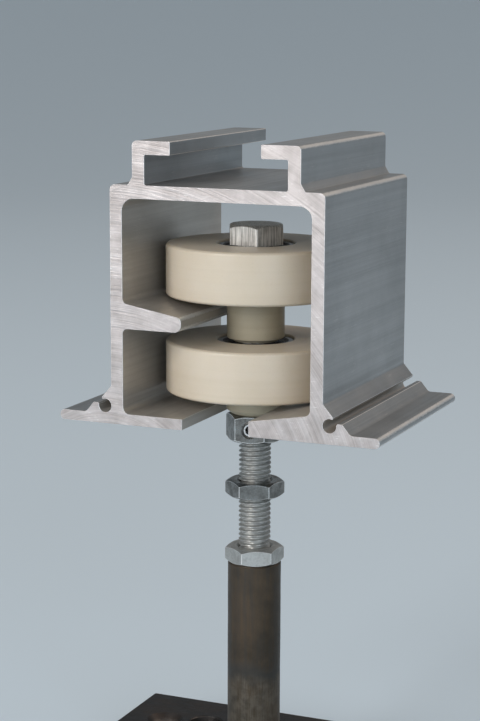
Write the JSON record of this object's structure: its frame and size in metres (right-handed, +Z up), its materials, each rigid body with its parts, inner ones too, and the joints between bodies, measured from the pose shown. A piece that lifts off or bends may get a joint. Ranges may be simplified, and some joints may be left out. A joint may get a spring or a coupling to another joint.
{
  "type": "twin wheel track carrier",
  "caption": "Track carrier on a stand: nylon wheels one above the other roll opposite ways inside an aluminium ceiling track.",
  "frame": {"origin": "on the post's axis at the underside of the base plate", "axes": "+Z up along the bolt and post, +Y along the track, +X across the track"},
  "size_m": [0.16, 0.16, 0.2583],
  "materials": {
    "mill_aluminium": "mill finish extrusion with sawn ends",
    "wheel_nylon": "turned cream nylon, satin",
    "spacer_nylon": "turned beige nylon, satin",
    "zinc": "bright zinc plate",
    "spring_steel": "oil-blackened spring steel",
    "bearing_steel": "ground",
    "cage": "moulded",
    "seal": "matt black rubber",
    "raw_steel": "raw mill-scaled steel",
    "weld": "bare weld"
  },
  "bodies": {
    "stand": {"base_plate": "raw_steel", "post": "raw_steel", "foot_weld": "weld", "lock_nut": "zinc"},
    "carrier": {"pendant_bolt": "zinc", "clamp_nut": "zinc", "lock_pin": "spring_steel", "lower_spacer": "spacer_nylon", "middle_spacer": "spacer_nylon", "lower_distance_ring": "bearing_steel", "upper_distance_ring": "bearing_steel", "lower_wheel_bearing_1_inner_ring": "bearing_steel", "lower_wheel_bearing_2_inner_ring": "bearing_steel", "upper_wheel_bearing_1_inner_ring": "bearing_steel", "upper_wheel_bearing_2_inner_ring": "bearing_steel"},
    "travelling_nut": {"travelling_nut": "zinc"},
    "track": {"track": "mill_aluminium"},
    "lower_wheel": {"lower_wheel": "wheel_nylon", "lower_wheel_bearing_1_outer_ring": "bearing_steel", "lower_wheel_bearing_1_bottom_seal": "seal", "lower_wheel_bearing_1_top_seal": "seal", "lower_wheel_bearing_2_outer_ring": "bearing_steel", "lower_wheel_bearing_2_bottom_seal": "seal", "lower_wheel_bearing_2_top_seal": "seal"},
    "lower_cage_1": {"lower_wheel_bearing_1_ball_cage": "cage"},
    "lower_cage_2": {"lower_wheel_bearing_2_ball_cage": "cage"},
    "upper_wheel": {"upper_wheel": "wheel_nylon", "upper_wheel_bearing_1_outer_ring": "bearing_steel", "upper_wheel_bearing_1_bottom_seal": "seal", "upper_wheel_bearing_1_top_seal": "seal", "upper_wheel_bearing_2_outer_ring": "bearing_steel", "upper_wheel_bearing_2_bottom_seal": "seal", "upper_wheel_bearing_2_top_seal": "seal"},
    "upper_cage_1": {"upper_wheel_bearing_1_ball_cage": "cage"},
    "upper_cage_2": {"upper_wheel_bearing_2_ball_cage": "cage"}
  },
  "joints": [
    {"name": "height_adjust", "type": "slide", "parent": "stand", "child": "carrier", "axis": [0, 0, 1], "range_m": [0, 0.012]},
    {"name": "track_travel", "type": "slide", "parent": "carrier", "child": "track", "axis": [0, 1, 0], "range_m": [-0.036, 0.036]},
    {"name": "nut_travel", "type": "slide", "parent": "carrier", "child": "travelling_nut", "axis": [0, 0, 1], "range_m": [-0.0185, 0.0145]},
    {"name": "upper_wheel_spin", "type": "hinge", "parent": "carrier", "child": "upper_wheel", "pos_m": [0, 0, 0.2], "axis": [0, 0, 1], "continuous": true},
    {"name": "upper_cage_1_spin", "type": "hinge", "parent": "carrier", "child": "upper_cage_1", "pos_m": [0, 0, 0.2], "axis": [0, 0, 1], "continuous": true},
    {"name": "upper_cage_2_spin", "type": "hinge", "parent": "carrier", "child": "upper_cage_2", "pos_m": [0, 0, 0.2], "axis": [0, 0, 1], "continuous": true},
    {"name": "lower_wheel_spin", "type": "hinge", "parent": "carrier", "child": "lower_wheel", "pos_m": [0, 0, 0.17], "axis": [0, 0, 1], "continuous": true},
    {"name": "lower_cage_1_spin", "type": "hinge", "parent": "carrier", "child": "lower_cage_1", "pos_m": [0, 0, 0.17], "axis": [0, 0, 1], "continuous": true},
    {"name": "lower_cage_2_spin", "type": "hinge", "parent": "carrier", "child": "lower_cage_2", "pos_m": [0, 0, 0.17], "axis": [0, 0, 1], "continuous": true}
  ],
  "couplings": [
    {"joint": "upper_wheel_spin", "follows": "track_travel", "rad_per_m": -31.646},
    {"joint": "upper_cage_1_spin", "follows": "track_travel", "rad_per_m": -19.589},
    {"joint": "upper_cage_2_spin", "follows": "track_travel", "rad_per_m": -19.589},
    {"joint": "lower_wheel_spin", "follows": "track_travel", "rad_per_m": 31.646},
    {"joint": "lower_cage_1_spin", "follows": "track_travel", "rad_per_m": 19.589},
    {"joint": "lower_cage_2_spin", "follows": "track_travel", "rad_per_m": 19.589}
  ]
}
